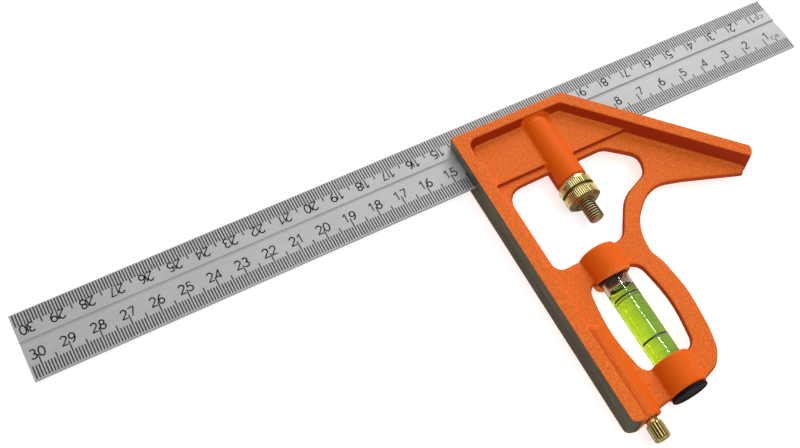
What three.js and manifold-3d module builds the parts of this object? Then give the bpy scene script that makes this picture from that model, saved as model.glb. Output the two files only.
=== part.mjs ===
// Combination square: a grooved steel rule that slides through a cast head and is
// held by a hook bolt, spring and knurled nut, with a spirit vial and a scriber in the head.
// Units are millimetres, +Z up. The square lies flat on its side.
//
// Tool frame (inside the inner group): X runs along the rule with 0 at its zero end and the
// rule reaching -RULE_L; Y runs across the rule with 0 at its lower edge; Z = 0 is the middle
// of the rule's thickness. The outer frame has its origin below the middle of the whole object.
import * as THREE from "three";
import { mergeVertices } from "three/addons/utils/BufferGeometryUtils.js";
import Module from "manifold-3d";

// ---------- driving dimensions ----------
const RULE_L = 304; // rule: length, width, thickness
const RULE_W = 25;
const RULE_T = 1.2;
const GROOVE_Y0 = 11.6; // clamp groove along the front face
const GROOVE_Y1 = 14.5;
const GROOVE_D = 0.5;
const GAP = 0.3; // clearance kept between touching pieces

const HEAD_T = 11.8; // full thickness over the rims
const FACE_X = -144.7; // 90 degree working face
const TOP_Y = 18.9; // top edge of the head
const APEX_X = -98.5; // where the 45 degree face starts
const TIP_X = -47.2; // outer end of the 45 degree face
const FOOT_Y = -101.2; // lower end of the working face
const WEB_T = 2.6; // thin web of the handle
const HOUSE_T = 4.8; // thicker web round the rule slot
const EDGE_ROUND = 0.8; // rounding of the web's edges
const RIM_DRAFT = 2.8; // how far the pocket walls lean from the middle plane to the rims
const RAIL_IN = -137.4; // foot of the left rim's inner wall, at the middle plane
const TOP_IN = 12.5; // foot of the top rim's inner wall
const DIAG_IN = -89.6; // foot of the 45 degree rim's inner wall, x + y
const STEP_Y = -4.0; // lower end of the thicker web

const BOLT_X = -112.2; // clamp bolt axis
const BOSS_Y1 = 15.0; // clamp boss, upper and lower end
const BOSS_Y0 = -13.3;
const BOSS_R1 = 5.5;
const BOSS_R0 = 6.05;
const BOLT_R = 2.9; // M6 shank
const BOLT_END = -30.6;
const NUT_R = 6.4;
const NUT_Y1 = -13.6;
const NUT_Y0 = -22.9;

const VIAL_X = -120.1; // vial axis
const VIAL_R = 5.1;
const VIAL_BOSS_R = 7.3;
const VIAL_Y1 = -45.4; // vial, upper and lower end
const VIAL_Y0 = -96.2;
const UP_BOSS = [-52.2, -41.4]; // boss spans along Y
const LOW_BOSS = [-98.4, -86.6];
const HOOD = 1.5; // how far the upper boss's crown reaches over the vial, past its own foot

const SCRIBER_X = -136.9;
const SCRIBER_R = 0.8;
const SCRIBER_TOP = -64.5;
const SCRIBER_BOSS_R = 4.3;
const KNOB_R = 2.95;
const KNOB_Y1 = -102.4;
const KNOB_Y0 = -108.6;

// outer frame: the middle of the object's box in X and Y, and its lowest point
const BASE = [RULE_L / 2, -(RULE_W + KNOB_Y0) / 2, VIAL_BOSS_R];

// ---------- helpers ----------
const wasm = await Module();
wasm.setup();

function solid(geometry) {
  const g = geometry.index ? geometry.toNonIndexed() : geometry.clone();
  g.deleteAttribute("normal");
  g.deleteAttribute("uv");
  const m = mergeVertices(g, 1e-4);
  return new wasm.Manifold(
    new wasm.Mesh({
      numProp: 3,
      vertProperties: m.attributes.position.array,
      triVerts: new Uint32Array(m.index.array),
    }),
  );
}

// The solid's triangles in the outer frame. Booleans can leave flat slivers where two cuts
// meet, so close vertices are merged and only the real body is kept.
function toGeometry(s) {
  const read = (m) => {
    const v = new Float32Array(m.numVert * 3);
    for (let i = 0; i < m.numVert; i++)
      v.set(m.vertProperties.subarray(i * m.numProp, i * m.numProp + 3), i * 3);
    const g = new THREE.BufferGeometry();
    g.setAttribute("position", new THREE.BufferAttribute(v, 3));
    g.setIndex(new THREE.BufferAttribute(new Uint32Array(m.triVerts), 1));
    return g;
  };
  const merged = mergeVertices(
    read(s.getMesh())
      .toNonIndexed()
      .translate(...BASE),
    1e-3,
  );
  const bodies = new wasm.Manifold(
    new wasm.Mesh({
      numProp: 3,
      vertProperties: merged.attributes.position.array,
      triVerts: new Uint32Array(merged.index.array),
    }),
  ).decompose();
  bodies.sort((p, q) => q.volume() - p.volume());
  const g = read(bodies[0].getMesh());
  g.computeVertexNormals();
  return g;
}

// A solid from XY points, between two heights.
function slab(points, z0, z1) {
  const g = new THREE.ExtrudeGeometry(new THREE.Shape(points), {
    depth: z1 - z0,
    bevelEnabled: false,
    curveSegments: 8,
  });
  g.translate(0, 0, z0);
  return solid(g);
}

function box(x0, x1, y0, y1, z0, z1) {
  const g = new THREE.BoxGeometry(x1 - x0, y1 - y0, z1 - z0);
  g.translate((x0 + x1) / 2, (y0 + y1) / 2, (z0 + z1) / 2);
  return solid(g);
}

// A body of revolution about a line along Y through (x, 0, z): profile of [radius, y].
function turned(profile, x, segments = 40, z = 0) {
  const g = new THREE.LatheGeometry(
    profile.map((p) => new THREE.Vector2(p[0], p[1])),
    segments,
  );
  g.translate(x, 0, z);
  return g;
}
const rod = (r, y0, y1, x, segments = 40, r1 = r) =>
  solid(
    turned(
      [
        [0, y0],
        [r, y0],
        [r1, y1],
        [0, y1],
      ],
      x,
      segments,
    ),
  );

// Rounds the corners of a closed polygon: each entry is [x, y] or [x, y, radius].
function rounded(corners, steps = 5) {
  const out = [];
  const n = corners.length;
  for (let i = 0; i < n; i++) {
    const [x, y, r = 0] = corners[i];
    const c = new THREE.Vector2(x, y);
    if (!r) {
      out.push(c);
      continue;
    }
    const a = new THREE.Vector2(...corners[(i + n - 1) % n].slice(0, 2)).sub(c);
    const b = new THREE.Vector2(...corners[(i + 1) % n].slice(0, 2)).sub(c);
    const half = Math.acos(a.dot(b) / a.length() / b.length()) / 2;
    const cut = Math.min(
      r / Math.tan(half),
      a.length() * 0.48,
      b.length() * 0.48,
    );
    const p = c.clone().add(a.setLength(cut));
    const q = c.clone().add(b.setLength(cut));
    const curve = new THREE.QuadraticBezierCurve(p, c, q);
    out.push(...curve.getPoints(steps));
  }
  return out;
}

// ---------- rule ----------
const rulePlate = solid(
  new THREE.BoxGeometry(RULE_L, RULE_W, RULE_T).translate(
    -RULE_L / 2,
    RULE_W / 2,
    0,
  ),
).subtract(
  box(
    -RULE_L - 1,
    1,
    GROOVE_Y0,
    GROOVE_Y1,
    RULE_T / 2 - GROOVE_D,
    RULE_T / 2 + 1,
  ),
);

// ---------- head casting ----------
const halfT = HEAD_T / 2;
const diag = APEX_X + TOP_Y; // x + y along the 45 degree face
const tipY = diag - TIP_X;

const outlineCorners = [
  [FACE_X, TOP_Y, 0.8],
  [APEX_X, TOP_Y, 0.8],
  [TIP_X, tipY, 2.2],
  [TIP_X - 1.9, tipY - 2.6, 1.0],
  [-54.2, -38.9, 1.6],
  [-60.0, -36.8, 12],
  [-76.0, -31.1, 24],
  [-85.0, -28.6, 14],
  [-91.5, -30.6, 12],
  [-98.6, -36.9, 16],
  [-101.6, -43.2, 16],
  [-102.4, -50.0, 4],
  [-100.6, -55.0, 12],
  [-99.1, -68.0, 44],
  [-100.7, -83.0, 30],
  [-102.8, -91.2, 12],
  [-106.8, -95.9, 7],
  [-113.0, -98.0, 4],
  [-127.0, -98.6],
  [-131.5, -99.2, 2],
  [-134.0, FOOT_Y + 0.6, 1.5],
  [-141.5, FOOT_Y, 1.5],
  [FACE_X, FOOT_Y + 0.9, 2.2],
];
const outline = rounded(outlineCorners);

// Turns a geometry built above Z = 0 into its mirror image below it.
function mirrorZ(geometry) {
  const g = (geometry.index ? geometry.toNonIndexed() : geometry).clone();
  g.scale(1, 1, -1);
  const a = g.attributes.position.array;
  for (let i = 0; i < a.length; i += 9)
    for (let k = 0; k < 3; k++)
      [a[i + k], a[i + 3 + k]] = [a[i + 3 + k], a[i + k]];
  return g;
}

// A cutter that starts at Z = 0 and flares by `flare` until `depth`, then runs straight on.
function flared(points, depth, flare, segments) {
  const g = new THREE.ExtrudeGeometry(new THREE.Shape(points), {
    depth: 8,
    bevelEnabled: true,
    bevelThickness: depth,
    bevelSize: flare,
    bevelOffset: 0,
    bevelSegments: segments,
    curveSegments: 6,
  });
  // it starts a little below the middle plane, so that the two sides cross cleanly
  g.translate(0, 0, depth - 0.1);
  return g;
}
const bothSides = (g) => solid(g).add(solid(mirrorZ(g)));

// The pocket on each face: its walls lean outwards from the middle plane to the rims.
const pockets = bothSides(
  flared(
    rounded([
      [RAIL_IN, TOP_IN, 1.0],
      [DIAG_IN - TOP_IN, TOP_IN, 0.6],
      [-20, DIAG_IN + 20],
      [-20, -140],
      [RAIL_IN, -140],
    ]),
    halfT + 0.1,
    RIM_DRAFT,
    1,
  ),
);

// The thin web fills the outline, with rounded edges. Inside the rims its corners are
// drawn in, and its tight corners start sharp, so that the rounding can't fold over itself.
const webCorners = outlineCorners.map(([x, y, r = 0]) => [
  x,
  y,
  r > 3 ? r : 0,
]);
webCorners.splice(
  0,
  4,
  [FACE_X + 1, TOP_Y - 1],
  [APEX_X - 1.5, TOP_Y - 1],
  [TIP_X - 2.6, tipY + 0.4],
  [TIP_X - 2.8, tipY - 2.0],
);
webCorners.splice(
  -3,
  3,
  [-134.0, FOOT_Y + 0.7],
  [-141.5, FOOT_Y + 1.2],
  [FACE_X + 1, FOOT_Y + 1.8],
);
const web = solid(
  new THREE.ExtrudeGeometry(new THREE.Shape(rounded(webCorners)), {
    depth: 0.3,
    bevelEnabled: true,
    bevelThickness: (WEB_T - 0.3) / 2,
    bevelSize: EDGE_ROUND,
    bevelOffset: -EDGE_ROUND - 0.03,
    bevelSegments: 3,
    curveSegments: 6,
  }).translate(0, 0, -0.15),
);

const housing = slab(
  [
    [FACE_X + 3, STEP_Y],
    [DIAG_IN - STEP_Y + 4.0, STEP_Y],
    [DIAG_IN - TOP_IN + 1.0, TOP_IN + 3.0],
    [FACE_X + 3, TOP_IN + 3.0],
  ].map((p) => new THREE.Vector2(...p)),
  -HOUSE_T / 2,
  HOUSE_T / 2,
);

const bigWindow = rounded([
  [-135.9, -7.8, 6.5],
  [-95.0, -7.2, 5],
  [-85.2, -15.2, 4.5],
  [-87.4, -22.0, 5],
  [-99.5, -26.9, 16],
  [-108.8, -40.4, 5],
  [-115.0, -41.2],
  [-128.0, -41.6],
  [-135.9, -41.8, 6.5],
]);
const vialWindow = rounded([
  [-129.4, -52.2, 4],
  [-131.9, -69.0, 60],
  [-129.4, -86.7, 4.5],
  [-110.0, -86.0, 4.5],
  [-107.2, -69.0, 60],
  [-109.8, -51.8, 4.5],
]);

let head = slab(outline, -halfT, halfT)
  .subtract(pockets)
  .add(web)
  .add(housing)
  .subtract(bothSides(flared(bigWindow, WEB_T / 2, EDGE_ROUND, 3)))
  .subtract(bothSides(flared(vialWindow, WEB_T / 2, EDGE_ROUND, 3)));

// bosses
const clampBoss = solid(
  turned(
    [
      [0, BOSS_Y0],
      [BOSS_R0 - 0.3, BOSS_Y0],
      [BOSS_R0, BOSS_Y0 + 0.3],
      [BOSS_R1, BOSS_Y1 - 2.4],
      [BOSS_R1 - 0.5, BOSS_Y1 - 1.2],
      [BOSS_R1 - 1.6, BOSS_Y1 - 0.3],
      [BOSS_R1 - 3.0, BOSS_Y1],
      [0, BOSS_Y1],
    ],
    BOLT_X,
    44,
  ),
);
const hoodEnd = UP_BOSS[0] - (HOOD * (8.4 - 1.2)) / (VIAL_BOSS_R - 1.2);
const hoodCut = new THREE.ExtrudeGeometry(
  new THREE.Shape(
    [
      [-8.4, hoodEnd],
      [-8.4, UP_BOSS[0] - 6],
      [8.4, UP_BOSS[0] - 6],
      [8.4, hoodEnd],
      [1.2, UP_BOSS[0]],
      [-1.2, UP_BOSS[0]],
    ].map((p) => new THREE.Vector2(...p)),
  ),
  { depth: 20, bevelEnabled: false },
)
  .translate(0, 0, -10)
  .rotateY(Math.PI / 2)
  .translate(VIAL_X, 0, 0);
const vialBossUp = solid(
  turned(
    [
      [0, UP_BOSS[0] - HOOD - 0.1],
      [VIAL_BOSS_R, UP_BOSS[0] - HOOD - 0.1],
      [VIAL_BOSS_R, UP_BOSS[1] - 0.9],
      [VIAL_BOSS_R - 0.4, UP_BOSS[1] - 0.25],
      [VIAL_BOSS_R - 1.1, UP_BOSS[1]],
      [0, UP_BOSS[1]],
    ],
    VIAL_X,
    48,
  ),
).subtract(solid(hoodCut));
const vialBossLow = solid(
  turned(
    [
      [0, LOW_BOSS[0]],
      [VIAL_BOSS_R - 0.3, LOW_BOSS[0]],
      [VIAL_BOSS_R, LOW_BOSS[0] + 0.3],
      [VIAL_BOSS_R, LOW_BOSS[1] - 0.3],
      [VIAL_BOSS_R - 0.3, LOW_BOSS[1]],
      [0, LOW_BOSS[1]],
    ],
    VIAL_X,
    48,
  ),
);
const scriberBoss = solid(
  turned(
    [
      [0, FOOT_Y + 0.5],
      [SCRIBER_BOSS_R, FOOT_Y + 0.5],
      [SCRIBER_BOSS_R, SCRIBER_TOP - 2.2],
      [SCRIBER_BOSS_R - 0.7, SCRIBER_TOP - 0.7],
      [SCRIBER_BOSS_R - 2.0, SCRIBER_TOP],
      [0, SCRIBER_TOP],
    ],
    SCRIBER_X,
    36,
  ),
);
// the scriber boss stays inside the head's outline at its foot and off the working face
head = head
  .add(clampBoss)
  .add(vialBossUp)
  .add(vialBossLow)
  .add(scriberBoss);

// rule slot, open at the top, with two lands and a relief between them
const slotZ = RULE_T / 2 + GAP;
head = head
  .subtract(box(-170, -20, -GAP, 40, -slotZ, slotZ))
  .subtract(box(-131, -104, -1.4, 1, -slotZ, slotZ));
// clamp bore: wide for the hook and spring, narrow at the outer end
head = head
  .subtract(rod(4.25, -11.2, 13.9, BOLT_X))
  .subtract(rod(BOLT_R + GAP, -20, 0, BOLT_X));
// vial bore: open at the foot, blind at the upper boss
head = head.subtract(rod(VIAL_R + GAP, -110, VIAL_Y1 + GAP, VIAL_X, 44));
// scriber bore: bushing seat at the mouth, then a narrow hole
head = head
  .subtract(rod(2.5, -110, -91.7, SCRIBER_X, 28))
  .subtract(rod(1.3, -95, -66.2, SCRIBER_X, 20));

// ---------- clamp ----------
// hook bolt: shank, body with the rule notch, and a lug that sits in the rule's groove
const bodyY0 = -3.9;
let bolt = rod(BOLT_R, BOLT_END + 0.7, bodyY0 + 1, BOLT_X, 32)
  .add(rod(BOLT_R - 0.7, BOLT_END, BOLT_END + 0.7, BOLT_X, 32, BOLT_R))
  .add(rod(3.9, bodyY0, 13.0, BOLT_X, 36));
bolt = bolt.subtract(
  box(BOLT_X - 8, BOLT_X + 8, -1.9, 30, -8, RULE_T / 2 + GAP),
);
bolt = bolt.add(
  box(BOLT_X - 1.6, BOLT_X + 1.6, GROOVE_Y0 + 0.35, 12.9, RULE_T / 2 - 0.2, 2),
);

// compression spring between the bolt's body and the bore's floor
class Helix extends THREE.Curve {
  constructor(radius, y0, y1, turns) {
    super();
    Object.assign(this, { radius, y0, y1, turns });
  }
  getPoint(t, target = new THREE.Vector3()) {
    const a = t * this.turns * Math.PI * 2;
    return target.set(
      BOLT_X + this.radius * Math.cos(a),
      this.y0 + (this.y1 - this.y0) * t,
      this.radius * Math.sin(a),
    );
  }
}
const wire = new THREE.Shape();
for (let i = 0; i < 6; i++) {
  const a = (i / 6) * Math.PI * 2;
  if (i) wire.lineTo(0.28 * Math.cos(a), 0.28 * Math.sin(a));
  else wire.moveTo(0.28, 0);
}
const springGeometry = new THREE.ExtrudeGeometry(wire, {
  steps: 70,
  bevelEnabled: false,
  extrudePath: new Helix(3.55, -10.6, bodyY0 - 0.7, 4.5),
});

// knurled nut: two bands with a groove between
const nut = solid(
  turned(
    [
      [BOLT_R + GAP, NUT_Y0],
      [5.0, NUT_Y0],
      [NUT_R - 0.4, NUT_Y0 + 0.5],
      [NUT_R, NUT_Y0 + 0.9],
      [NUT_R, NUT_Y0 + 4.3],
      [NUT_R - 0.8, NUT_Y0 + 4.5],
      [NUT_R - 0.8, NUT_Y0 + 5.2],
      [NUT_R, NUT_Y0 + 5.4],
      [NUT_R, NUT_Y0 + 8.1],
      [NUT_R - 0.6, NUT_Y1],
      [BOLT_R + GAP, NUT_Y1],
      [BOLT_R + GAP, NUT_Y0],
    ],
    BOLT_X,
    48,
  ),
);

// ---------- vial ----------
const vialBore = 3.9;
const liquidTop = -56.6;
const vialBody = turned(
  [
    [0, VIAL_Y1 - 2.6],
    [vialBore, VIAL_Y1 - 2.6],
    [vialBore, VIAL_Y0],
    [VIAL_R, VIAL_Y0],
    [VIAL_R, VIAL_Y1 - 0.5],
    [VIAL_R - 0.5, VIAL_Y1],
    [0, VIAL_Y1],
  ],
  VIAL_X,
  44,
);
const stopperTop = -92.0;
const vialLiquid = rod(
  vialBore - GAP,
  stopperTop + GAP,
  liquidTop,
  VIAL_X,
  36,
);
const vialStopper = rod(vialBore - GAP, VIAL_Y0 + 0.2, stopperTop, VIAL_X, 32);
const retainingPlug = turned(
  [
    [0, -99.9],
    [6.3, -99.9],
    [6.65, -99.6],
    [6.65, LOW_BOSS[0] - GAP],
    [VIAL_R, LOW_BOSS[0] - GAP],
    [VIAL_R, VIAL_Y0 - GAP],
    [0, VIAL_Y0 - GAP],
  ],
  VIAL_X,
  44,
);

// ---------- scriber ----------
const needle = turned(
  [
    [0, -107.0],
    [SCRIBER_R, -107.0],
    [SCRIBER_R, -72.5],
    [0.12, -67.0],
    [0, -67.0],
  ],
  SCRIBER_X,
  16,
);
const bushing = turned(
  [
    [1.1, -100.4],
    [2.2, -100.4],
    [2.2, -92.0],
    [1.1, -92.0],
    [1.1, -100.4],
  ],
  SCRIBER_X,
  28,
);
const knob = turned(
  [
    [SCRIBER_R + GAP, -107.3],
    [0, -107.3],
    [0, KNOB_Y0],
    [KNOB_R - 0.5, KNOB_Y0],
    [KNOB_R, KNOB_Y0 + 0.5],
    [KNOB_R, KNOB_Y1 - 0.3],
    [KNOB_R - 0.3, KNOB_Y1],
    [2.1, KNOB_Y1],
    [2.1, -100.9],
    [SCRIBER_R + GAP, -100.9],
    [SCRIBER_R + GAP, -107.3],
  ],
  SCRIBER_X,
  36,
);

// ---------- assembly ----------
const paint = { color: 0xe2641f, roughness: 0.5, metalness: 0.0 };
const brass = { color: 0xc9a94e, roughness: 0.28, metalness: 1.0 };
const steel = { color: 0xc4c4c6, roughness: 0.38, metalness: 1.0 };
function mesh(name, geometry, look) {
  const m = new THREE.Mesh(geometry, new THREE.MeshStandardMaterial(look));
  m.name = name;
  return m;
}

const tool = new THREE.Group();
const blade = new THREE.Group();
blade.add(mesh("rule", toGeometry(rulePlate), steel));
const headGroup = new THREE.Group();
headGroup.add(mesh("head_casting", toGeometry(head), paint));
const clampGroup = new THREE.Group();
clampGroup.add(
  mesh("clamp_bolt", toGeometry(bolt), {
    color: 0x9c8a52,
    roughness: 0.4,
    metalness: 1.0,
  }),
  mesh("clamp_spring", springGeometry.translate(...BASE), {
    color: 0xb0b0b0,
    roughness: 0.35,
    metalness: 1.0,
  }),
  mesh("clamp_nut", toGeometry(nut), brass),
);
const vialGroup = new THREE.Group();
vialGroup.add(
  mesh("vial_body", vialBody.translate(...BASE), {
    color: 0xeef6e8,
    roughness: 0.05,
    metalness: 0.0,
    transparent: true,
    opacity: 0.35,
  }),
  mesh("vial_liquid", toGeometry(vialLiquid), {
    color: 0x9ccc10,
    roughness: 0.1,
    metalness: 0.0,
  }),
  mesh("vial_stopper", toGeometry(vialStopper), {
    color: 0xf0f0ea,
    roughness: 0.5,
    metalness: 0.0,
  }),
  mesh("vial_retaining_plug", retainingPlug.translate(...BASE), {
    color: 0x141414,
    roughness: 0.6,
    metalness: 0.0,
  }),
);
const scriberGroup = new THREE.Group();
scriberGroup.add(
  mesh("scriber_needle", needle.translate(...BASE), steel),
  mesh("scriber_bushing", bushing.translate(...BASE), brass),
  mesh("scriber_knob", knob.translate(...BASE), brass),
);
tool.add(blade, headGroup, clampGroup, vialGroup, scriberGroup);

const part = new THREE.Group();
part.add(tool);
export default part;
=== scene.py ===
"""Looks of the combination square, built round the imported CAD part.

Lengths are written in millimetres in the tool's own frame (X along the rule, 0 at its zero
end; Y across it; Z = 0 in the middle of its thickness) and turned into metres by put().
"""
import math

import bmesh
import bpy
import numpy as np
from mathutils import Matrix, Vector


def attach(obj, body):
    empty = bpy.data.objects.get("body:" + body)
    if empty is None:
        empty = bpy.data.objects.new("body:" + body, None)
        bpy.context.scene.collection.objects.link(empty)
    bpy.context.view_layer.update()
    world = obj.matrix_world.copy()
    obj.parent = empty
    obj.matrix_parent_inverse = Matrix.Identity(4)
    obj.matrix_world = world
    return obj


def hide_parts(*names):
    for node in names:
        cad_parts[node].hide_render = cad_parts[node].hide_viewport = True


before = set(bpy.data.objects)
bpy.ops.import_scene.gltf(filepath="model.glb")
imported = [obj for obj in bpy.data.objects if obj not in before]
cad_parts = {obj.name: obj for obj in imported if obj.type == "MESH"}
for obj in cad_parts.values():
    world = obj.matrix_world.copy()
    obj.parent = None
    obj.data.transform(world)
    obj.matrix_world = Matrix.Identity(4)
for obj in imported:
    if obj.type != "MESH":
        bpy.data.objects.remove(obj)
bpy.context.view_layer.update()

BASE = (152.0, 41.8, 7.3)

RULE_L, RULE_W, RULE_T = 304.0, 25.0, 1.2
GROOVE_Y0, GROOVE_Y1, GROOVE_D = 11.6, 14.5, 0.5
FACE_X, TOP_Y, DIAG = -144.7, 18.9, -79.6
BOLT_X = -112.2
VIAL_X = -120.1
SCRIBER_X = -136.9


def put(points):
    p = np.asarray(points, float).reshape(-1, 3)
    return (p + np.array(BASE)) / 1000.0


# ---------------------------------------------------------------- mesh helpers
def build(name, points, faces, material, body, smooth=32.0):
    """One mesh piece from tool-frame points in mm and faces, riding on a CAD body."""
    me = bpy.data.meshes.new(name)
    me.from_pydata(put(points).tolist(), [], [tuple(int(i) for i in f) for f in faces])
    me.validate()
    return finish_piece(name, me, material, body, smooth)


def finish_piece(name, me, material, body, smooth=32.0):
    bm = bmesh.new()
    bm.from_mesh(me)
    bmesh.ops.recalc_face_normals(bm, faces=bm.faces)
    bm.to_mesh(me)
    bm.free()
    for m in material if isinstance(material, (list, tuple)) else [material]:
        me.materials.append(m)
    me.polygons.foreach_set("use_smooth", [True] * len(me.polygons))
    me.set_sharp_from_angle(angle=math.radians(smooth))
    o = bpy.data.objects.new(name, me)
    bpy.context.scene.collection.objects.link(o)
    if body:
        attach(o, body)
    return o


def rings(name, rows, axis_x, segments, material, body, loop=False, smooth=32.0, z=0.0, low=None):
    """A turned piece about a line along Y. rows are (radius or function of angle, y).
    low(radius, y) gives a weight from 0 to 1, highest in the hollows, by which the brass colour is darkened as
    painted shade."""
    angles = np.arange(segments) * 2 * math.pi / segments
    points, faces = [], []
    for r, y in rows:
        rad = r(angles, y) if callable(r) else np.full(segments, float(r))
        yy = y if np.ndim(y) else np.full(segments, float(y))
        points.append(
            np.stack([axis_x + rad * np.cos(angles), yy, z + rad * np.sin(angles)], -1)
        )
    n = len(rows)
    for i in range(n if loop else n - 1):
        a, b = i * segments, ((i + 1) % n) * segments
        for k in range(segments):
            l = (k + 1) % segments
            faces.append((a + k, a + l, b + l, b + k))
    points = np.concatenate(points)
    if not loop:
        points = np.vstack(
            [
                points,
                [axis_x, float(points[:segments, 1].mean()), z],
                [axis_x, float(points[(n - 1) * segments : n * segments, 1].mean()), z],
            ]
        )
        c0, c1 = len(points) - 2, len(points) - 1
        for k in range(segments):
            l = (k + 1) % segments
            faces.append((c0, l, k))
            faces.append((c1, (n - 1) * segments + k, (n - 1) * segments + l))
    o = build(name, points, faces, material, body, smooth)
    if low:
        v = np.zeros(len(o.data.vertices) * 3)
        o.data.vertices.foreach_get("co", v)
        v = v.reshape(-1, 3) * 1000 - np.array(BASE)
        painted_shade = low(np.hypot(v[:, 0] - axis_x, v[:, 2] - z), v[:, 1])
        a = o.data.attributes.new("groove_shade", "FLOAT", "POINT")
        a.data.foreach_set("value", np.clip(painted_shade, 0, 1).astype(np.float32))
    return o


def arc(cx, cy, r, a0, a1, steps):
    """Points of an arc in a (radius, y) profile, angles in degrees."""
    return [
        (
            cx + r * math.cos(math.radians(a0 + (a1 - a0) * i / steps)),
            cy + r * math.sin(math.radians(a0 + (a1 - a0) * i / steps)),
        )
        for i in range(steps + 1)
    ]


def modify(o, kind, **values):
    m = o.modifiers.new(kind.title(), kind)
    for k, v in values.items():
        setattr(m, k, v)
    return m


def apply_all(o):
    """Bakes an object's modifiers into its mesh."""
    dg = bpy.context.evaluated_depsgraph_get()
    dg.update()
    me = bpy.data.meshes.new_from_object(o.evaluated_get(dg))
    old = o.data
    o.modifiers.clear()
    o.data = me
    bpy.data.meshes.remove(old)
    return o


def scratch_box(x0, x1, y0, y1, z0, z1, turn=None):
    """A box in the tool frame, used only as a cutter; turn is (angle, x, y) about Z."""
    c = [(x, y, z) for x in (x0, x1) for y in (y0, y1) for z in (z0, z1)]
    if turn:
        a, cx, cy = turn
        ca, sa = math.cos(a), math.sin(a)
        c = [(cx + x * ca - y * sa, cy + x * sa + y * ca, z) for x, y, z in c]
    f = [(0, 1, 3, 2), (4, 6, 7, 5), (0, 4, 5, 1), (2, 3, 7, 6), (0, 2, 6, 4), (1, 5, 7, 3)]
    return scratch(c, f)


def scratch_rod(r, y0, y1, x, segments=96):
    pts, f = [], []
    for y in (y0, y1):
        for k in range(segments):
            a = 2 * math.pi * k / segments
            pts.append((x + r * math.cos(a), y, r * math.sin(a)))
    for k in range(segments):
        l = (k + 1) % segments
        f.append((k, l, segments + l, segments + k))
    f.append(tuple(range(segments)))
    f.append(tuple(range(2 * segments - 1, segments - 1, -1)))
    return scratch(pts, f)


def scratch(points, faces):
    me = bpy.data.meshes.new("cutter")
    me.from_pydata(put(points).tolist(), [], faces)
    bm = bmesh.new()
    bm.from_mesh(me)
    bmesh.ops.recalc_face_normals(bm, faces=bm.faces)
    bm.to_mesh(me)
    bm.free()
    o = bpy.data.objects.new("cutter", me)
    bpy.context.scene.collection.objects.link(o)
    return o


def cut(o, cutters, operation="DIFFERENCE"):
    for c in cutters:
        modify(o, "BOOLEAN", operation=operation, object=c, solver="MANIFOLD")
    apply_all(o)
    for c in cutters:
        bpy.data.objects.remove(c)
    return o


# ---------------------------------------------------------------- materials
def new_material(name):
    m = bpy.data.materials.new(name)
    m.use_nodes = True
    t = m.node_tree
    t.nodes.clear()
    out = t.nodes.new("ShaderNodeOutputMaterial")
    bsdf = t.nodes.new("ShaderNodeBsdfPrincipled")
    t.links.new(bsdf.outputs[0], out.inputs[0])
    coord = t.nodes.new("ShaderNodeTexCoord")
    return m, t, bsdf, coord.outputs["Object"], out


def mapped(t, coord, scale=(1, 1, 1)):
    n = t.nodes.new("ShaderNodeMapping")
    n.inputs["Scale"].default_value = scale
    t.links.new(coord, n.inputs["Vector"])
    return n.outputs[0]


def noise(t, coord, scale, detail=3.0, rough=0.5):
    n = t.nodes.new("ShaderNodeTexNoise")
    n.inputs["Scale"].default_value = scale
    n.inputs["Detail"].default_value = detail
    n.inputs["Roughness"].default_value = rough
    t.links.new(coord, n.inputs["Vector"])
    return n.outputs["Fac"]


def ramp(t, fac, stops):
    n = t.nodes.new("ShaderNodeValToRGB")
    r = n.color_ramp
    while len(r.elements) < len(stops):
        r.elements.new(0.5)
    for e, (p, c) in zip(r.elements, stops):
        e.position = p
        e.color = (*c, 1) if len(c) == 3 else c
    t.links.new(fac, n.inputs[0])
    return n.outputs[0]


def remap(t, fac, a, b, c, d):
    n = t.nodes.new("ShaderNodeMapRange")
    for i, v in enumerate((a, b, c, d)):
        n.inputs[i + 1].default_value = v
    t.links.new(fac, n.inputs[0])
    return n.outputs[0]


def mix(t, fac, a, b, mode="MIX"):
    n = t.nodes.new("ShaderNodeMix")
    n.data_type = "RGBA"
    n.blend_type = mode
    ins = [s for s in n.inputs if s.enabled]
    for sock, v in zip(ins, (fac, a, b)):
        if isinstance(v, bpy.types.NodeSocket):
            t.links.new(v, sock)
        elif isinstance(v, (int, float)):
            sock.default_value = v
        else:
            sock.default_value = (*v, 1)
    return [s for s in n.outputs if s.enabled][0]


def bump(t, bsdf, height, strength, distance, chain=None):
    n = t.nodes.new("ShaderNodeBump")
    n.inputs["Strength"].default_value = strength
    n.inputs["Distance"].default_value = distance
    t.links.new(height, n.inputs["Height"])
    if chain is not None:
        t.links.new(chain, n.inputs["Normal"])
    t.links.new(n.outputs[0], bsdf.inputs["Normal"])
    return n.outputs[0]


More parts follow.
